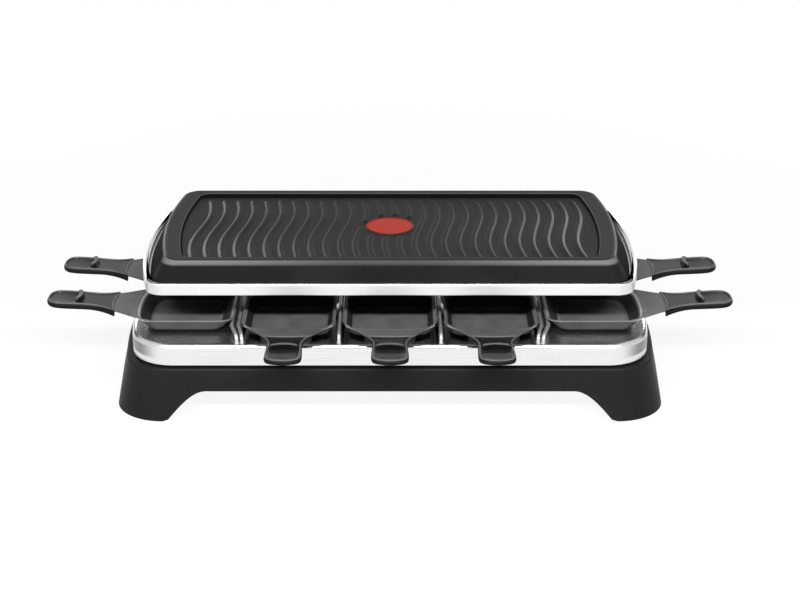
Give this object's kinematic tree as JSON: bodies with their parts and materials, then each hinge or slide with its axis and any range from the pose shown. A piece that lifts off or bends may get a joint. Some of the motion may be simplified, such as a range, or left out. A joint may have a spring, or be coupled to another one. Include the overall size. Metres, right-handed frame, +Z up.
{
  "type": "raclette grill",
  "caption": "Electric table-top raclette grill with a ribbed grill plate over a heater, small pans drawn out from under it, and a steel deck on a moulded base.",
  "frame": {"origin": "the middle of the object on the surface that its feet stand on", "axes": "+X to the right along the long sides, +Y to the back, where the cord gland is, +Z up"},
  "size_m": [0.663, 0.396, 0.158],
  "materials": {
    "black_plastic": "fine matte texture",
    "handle_plastic": "fine matte texture",
    "non_stick": "cast, black non-stick coat, fine pebbled sheen",
    "pan_coating": "black non-stick coat, soft sheen",
    "brushed_steel": "brushed stainless, polished middle",
    "satin_steel": "bright satin",
    "chrome": "polished wire",
    "dark_steel": "dark coated steel",
    "element_tube": "dull grey-green heater sheath",
    "zinc": "zinc plated",
    "ceramic": "unglazed",
    "rubber": "matte",
    "red_spot": "satin red coat",
    "brown_lead": "sleeved wire",
    "green_lead": "sleeved wire",
    "blue_lead": "sleeved wire"
  },
  "bodies": {
    "base": {"base_shell": "black_plastic", "wiring_cover": "black_plastic", "rubber_foot_front_left": "rubber", "rubber_foot_rear_left": "rubber", "rubber_foot_front_right": "rubber", "rubber_foot_rear_right": "rubber", "cord_gland": "rubber", "deck_tray": "brushed_steel", "divider_rail_left": "chrome", "divider_rail_right": "chrome", "corner_rail_inner_left": "chrome", "corner_rail_outer_left": "chrome", "corner_rail_inner_right": "chrome", "corner_rail_outer_right": "chrome", "heater_casing": "satin_steel", "element_strap_left": "dark_steel", "element_strap_middle": "dark_steel", "element_strap_right": "dark_steel", "column_left": "dark_steel", "column_right": "dark_steel", "column_screw_left": "zinc", "column_screw_right": "zinc", "deck_screw_inner_left": "zinc", "deck_screw_outer_left": "zinc", "deck_screw_inner_right": "zinc", "deck_screw_outer_right": "zinc", "cover_screw_left": "zinc", "cover_screw_right": "zinc", "clamp_screw": "zinc", "heating_element": "element_tube", "element_seal_left": "ceramic", "element_seal_right": "ceramic", "terminal_block": "ceramic", "supply_block": "ceramic", "cord_clamp": "ceramic", "live_lead": "brown_lead", "earth_lead": "green_lead", "neutral_lead": "blue_lead"},
    "grill_plate": {"grill_plate": "non_stick", "heat_spot": "red_spot"},
    "pan_front_left": {"pan_front_left": "pan_coating", "handle_front_left": "handle_plastic"},
    "pan_rear_left": {"pan_rear_left": "pan_coating", "handle_rear_left": "handle_plastic"},
    "pan_front_middle": {"pan_front_middle": "pan_coating", "handle_front_middle": "handle_plastic"},
    "pan_rear_middle": {"pan_rear_middle": "pan_coating", "handle_rear_middle": "handle_plastic"},
    "pan_front_right": {"pan_front_right": "pan_coating", "handle_front_right": "handle_plastic"},
    "pan_rear_right": {"pan_rear_right": "pan_coating", "handle_rear_right": "handle_plastic"},
    "pan_left_end_front": {"pan_left_end_front": "pan_coating", "handle_left_end_front": "handle_plastic"},
    "pan_left_end_rear": {"pan_left_end_rear": "pan_coating", "handle_left_end_rear": "handle_plastic"},
    "pan_right_end_front": {"pan_right_end_front": "pan_coating", "handle_right_end_front": "handle_plastic"},
    "pan_right_end_rear": {"pan_right_end_rear": "pan_coating", "handle_right_end_rear": "handle_plastic"}
  },
  "joints": [
    {"name": "plate_lift", "type": "slide", "parent": "base", "child": "grill_plate", "axis": [0, 0, 1], "range_m": [0, 0.04]},
    {"name": "draw_front_left", "type": "slide", "parent": "base", "child": "pan_front_left", "axis": [0, -1, 0], "range_m": [0, 0.1]},
    {"name": "draw_rear_left", "type": "slide", "parent": "base", "child": "pan_rear_left", "axis": [0, 1, 0], "range_m": [0, 0.1]},
    {"name": "draw_front_middle", "type": "slide", "parent": "base", "child": "pan_front_middle", "axis": [0, -1, 0], "range_m": [0, 0.1]},
    {"name": "draw_rear_middle", "type": "slide", "parent": "base", "child": "pan_rear_middle", "axis": [0, 1, 0], "range_m": [0, 0.1]},
    {"name": "draw_front_right", "type": "slide", "parent": "base", "child": "pan_front_right", "axis": [0, -1, 0], "range_m": [0, 0.1]},
    {"name": "draw_rear_right", "type": "slide", "parent": "base", "child": "pan_rear_right", "axis": [0, 1, 0], "range_m": [0, 0.1]},
    {"name": "draw_left_end_front", "type": "slide", "parent": "base", "child": "pan_left_end_front", "axis": [-1, 0, 0], "range_m": [0, 0.105]},
    {"name": "draw_left_end_rear", "type": "slide", "parent": "base", "child": "pan_left_end_rear", "axis": [-1, 0, 0], "range_m": [0, 0.105]},
    {"name": "draw_right_end_front", "type": "slide", "parent": "base", "child": "pan_right_end_front", "axis": [1, 0, 0], "range_m": [0, 0.105]},
    {"name": "draw_right_end_rear", "type": "slide", "parent": "base", "child": "pan_right_end_rear", "axis": [1, 0, 0], "range_m": [0, 0.105]}
  ]
}
